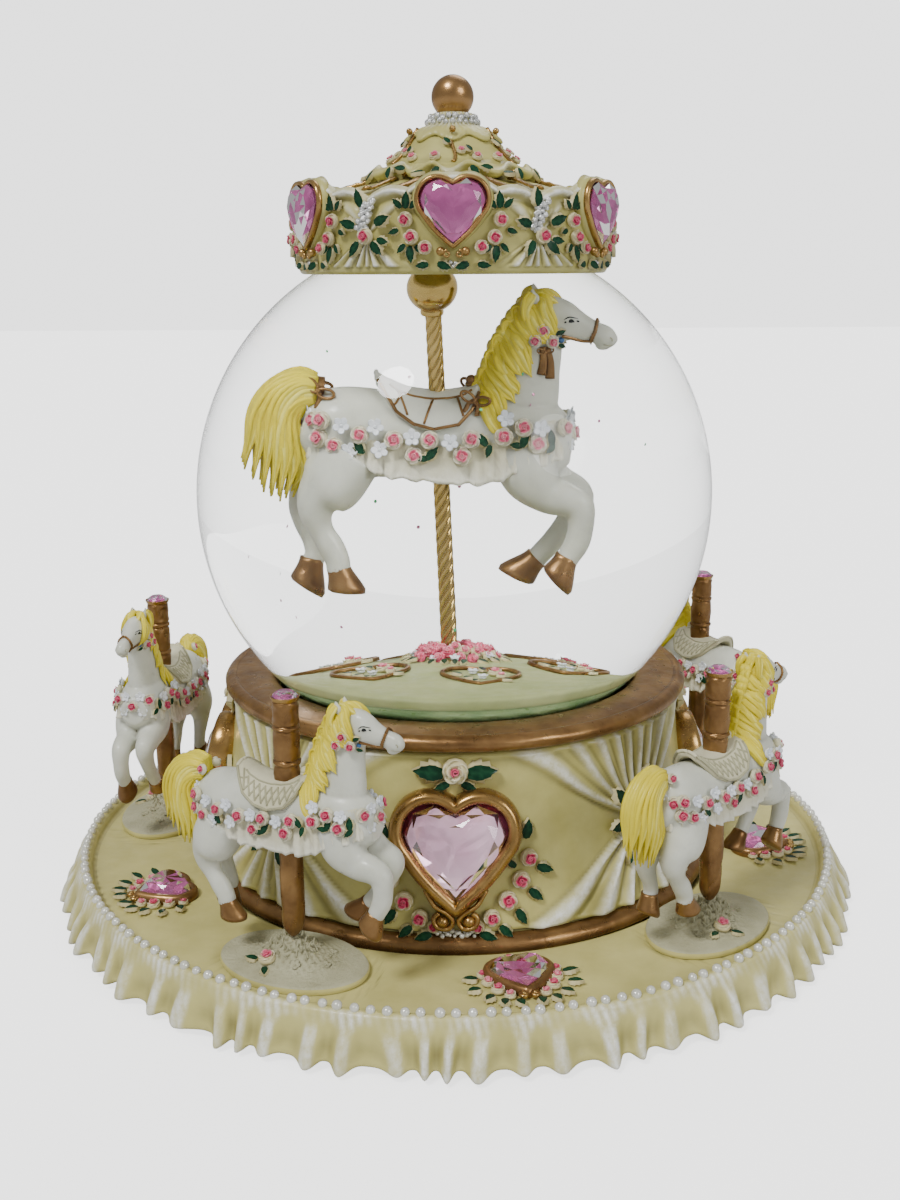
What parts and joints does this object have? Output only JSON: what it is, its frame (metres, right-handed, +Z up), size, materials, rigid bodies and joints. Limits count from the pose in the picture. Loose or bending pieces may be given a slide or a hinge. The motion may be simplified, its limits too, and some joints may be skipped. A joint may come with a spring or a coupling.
{
  "type": "wind-up carousel snow globe music box",
  "caption": "Wind-up musical snow globe: a ring of carousel horses turns round a jewelled drum that carries a glass globe with a horse on a pole under a crown canopy.",
  "frame": {"origin": "centre of the base on the surface that the music box stands on", "axes": "+Z up along the axis that the platform turns about, -Y towards the front jewel of the drum"},
  "size_m": [0.1928, 0.1928, 0.1884],
  "materials": {
    "grey_plastic": "moulded",
    "steel": "brushed",
    "brass": "lacquered",
    "white_nylon": "moulded",
    "drum_resin": "cast resin, pearl dry-brushed",
    "bronze_resin": "bronze paint",
    "clear_glass": "clear",
    "black_rubber": "matt",
    "floor_resin": "cast resin",
    "polished_brass": "polished",
    "white_resin": "painted satin",
    "crown_resin": "cast resin, pearl dry-brushed",
    "gold_paint": "gold paint",
    "platform_resin": "cast resin, pearl dry-brushed",
    "crown_gem": "faceted, foil backed",
    "drum_gem": "faceted, foil backed",
    "pink_gem": "faceted, foil backed",
    "disc_resin": "cast resin"
  },
  "bodies": {
    "root": {"base_pan": "grey_plastic", "glide_ring": "white_nylon", "drum": "drum_resin", "rim_ring": "bronze_resin", "movement_plate": "steel", "spring_barrel": "brass", "comb": "steel", "governor_bracket": "steel", "globe_glass": "clear_glass", "globe_stopper": "black_rubber", "globe_floor": "floor_resin", "horse_pole": "polished_brass", "pole_ball": "polished_brass", "globe_horse": "white_resin", "canopy": "crown_resin", "finial_ball": "gold_paint", "crown_gem_1": "crown_gem", "crown_gem_2": "crown_gem", "crown_gem_3": "crown_gem", "crown_gem_4": "crown_gem", "crown_gem_5": "crown_gem", "crown_gem_6": "crown_gem", "drum_gem_1": "drum_gem", "drum_gem_2": "drum_gem", "drum_gem_3": "drum_gem", "drum_gem_4": "drum_gem"},
    "platform": {"platform": "platform_resin", "ring_gear": "white_nylon", "horse_1": "white_resin", "horse_disc_1": "disc_resin", "horse_post_1": "gold_paint", "post_gem_1": "pink_gem", "platform_gem_1": "pink_gem", "horse_2": "white_resin", "horse_disc_2": "disc_resin", "horse_post_2": "gold_paint", "post_gem_2": "pink_gem", "platform_gem_2": "pink_gem", "horse_3": "white_resin", "horse_disc_3": "disc_resin", "horse_post_3": "gold_paint", "post_gem_3": "pink_gem", "platform_gem_3": "pink_gem", "horse_4": "white_resin", "horse_disc_4": "disc_resin", "horse_post_4": "gold_paint", "post_gem_4": "pink_gem", "platform_gem_4": "pink_gem", "horse_5": "white_resin", "horse_disc_5": "disc_resin", "horse_post_5": "gold_paint", "post_gem_5": "pink_gem", "platform_gem_5": "pink_gem"},
    "winding_arbor": {"great_wheel": "brass", "winding_key": "steel"},
    "drive_shaft": {"drive_shaft": "brass"},
    "music_cylinder": {"music_cylinder": "brass"},
    "governor_wheel": {"governor_wheel": "brass"},
    "governor_worm": {"governor_worm": "steel"}
  },
  "joints": [
    {"name": "platform_spin", "type": "hinge", "parent": "root", "child": "platform", "pos_m": [0, 0, 0], "axis": [0, 0, 1], "continuous": true},
    {"name": "arbor_spin", "type": "hinge", "parent": "root", "child": "winding_arbor", "pos_m": [0, 0, 0], "axis": [0, 0, 1], "continuous": true},
    {"name": "drive_spin", "type": "hinge", "parent": "root", "child": "drive_shaft", "pos_m": [0.036, 0, 0], "axis": [0, 0, 1], "continuous": true},
    {"name": "cylinder_spin", "type": "hinge", "parent": "root", "child": "music_cylinder", "pos_m": [-0.03, 0, 0.0352], "axis": [1, 0, 0], "continuous": true},
    {"name": "governor_wheel_spin", "type": "hinge", "parent": "root", "child": "governor_wheel", "pos_m": [0, 0.0315, 0], "axis": [0, 0, 1], "continuous": true},
    {"name": "governor_worm_spin", "type": "hinge", "parent": "root", "child": "governor_worm", "pos_m": [0.0145, 0.0315, 0.0229], "axis": [0, 1, 0], "continuous": true}
  ],
  "couplings": [
    {"joint": "arbor_spin", "follows": "platform_spin", "ratio": -1.6471},
    {"joint": "drive_spin", "follows": "platform_spin", "ratio": 4},
    {"joint": "cylinder_spin", "follows": "platform_spin", "ratio": 6.1765},
    {"joint": "governor_wheel_spin", "follows": "platform_spin", "ratio": 7},
    {"joint": "governor_worm_spin", "follows": "platform_spin", "ratio": -168}
  ]
}
